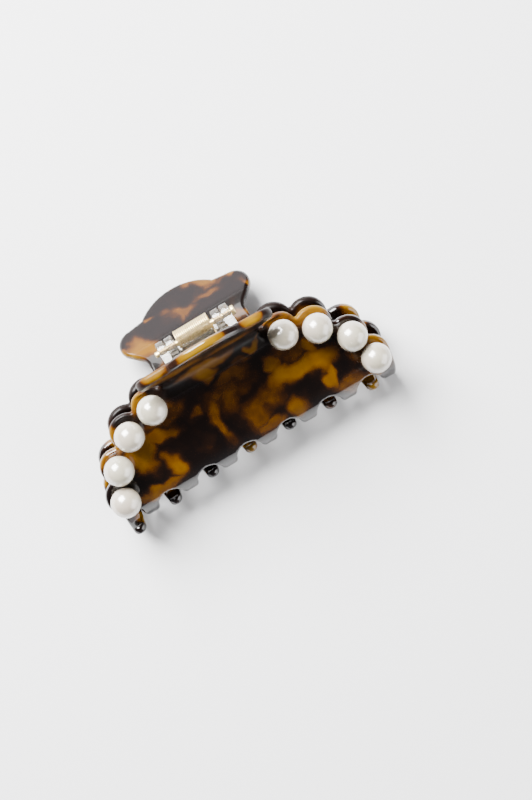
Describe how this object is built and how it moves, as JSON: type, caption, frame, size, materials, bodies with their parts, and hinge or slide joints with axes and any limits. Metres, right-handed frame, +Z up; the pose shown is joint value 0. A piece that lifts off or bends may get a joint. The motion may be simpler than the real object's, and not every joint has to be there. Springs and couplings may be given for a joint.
{
  "type": "claw clip",
  "caption": "Large hair claw clip: two bent tortoiseshell jaws with scalloped edges and meshing teeth, beads along one jaw, and a sprung hinge between finger tabs",
  "frame": {"origin": "On the resting plane, under the middle of the clip", "axes": "+Z up; the clip lies on its rear half with its hinge pin along X and its finger tabs towards +Y; the beaded front half is on top"},
  "size_m": [0.106, 0.0646, 0.0539],
  "materials": {
    "acetate": "polished tortoiseshell cellulose acetate, amber with dark brown patches",
    "clear_plastic": "clear moulded plastic",
    "pale_gold": "bright pale gold plating",
    "pearl": "ivory pearlescent coating"
  },
  "bodies": {
    "rear": {"rear_half": "acetate", "rear_hinge_leaf": "clear_plastic", "hinge_pin": "pale_gold", "torsion_spring": "pale_gold"},
    "front": {"front_half": "acetate", "front_hinge_leaf": "clear_plastic", "pearl_left_1": "pearl", "pearl_left_2": "pearl", "pearl_left_3": "pearl", "pearl_left_4": "pearl", "pearl_right_1": "pearl", "pearl_right_2": "pearl", "pearl_right_3": "pearl", "pearl_right_4": "pearl", "peg_left_1": "pale_gold", "peg_left_2": "pale_gold", "peg_left_3": "pale_gold", "peg_left_4": "pale_gold", "peg_right_1": "pale_gold", "peg_right_2": "pale_gold", "peg_right_3": "pale_gold", "peg_right_4": "pale_gold"}
  },
  "joints": [
    {"name": "jaw_opening", "type": "hinge", "parent": "rear", "child": "front", "pos_m": [0, 0.01475, 0.02487], "axis": [-1, 0, 0], "range_deg": [0, 70], "stiffness_Nm_per_rad": 0.15, "springref_deg": -57.3, "deforming": ["torsion_spring"]}
  ]
}
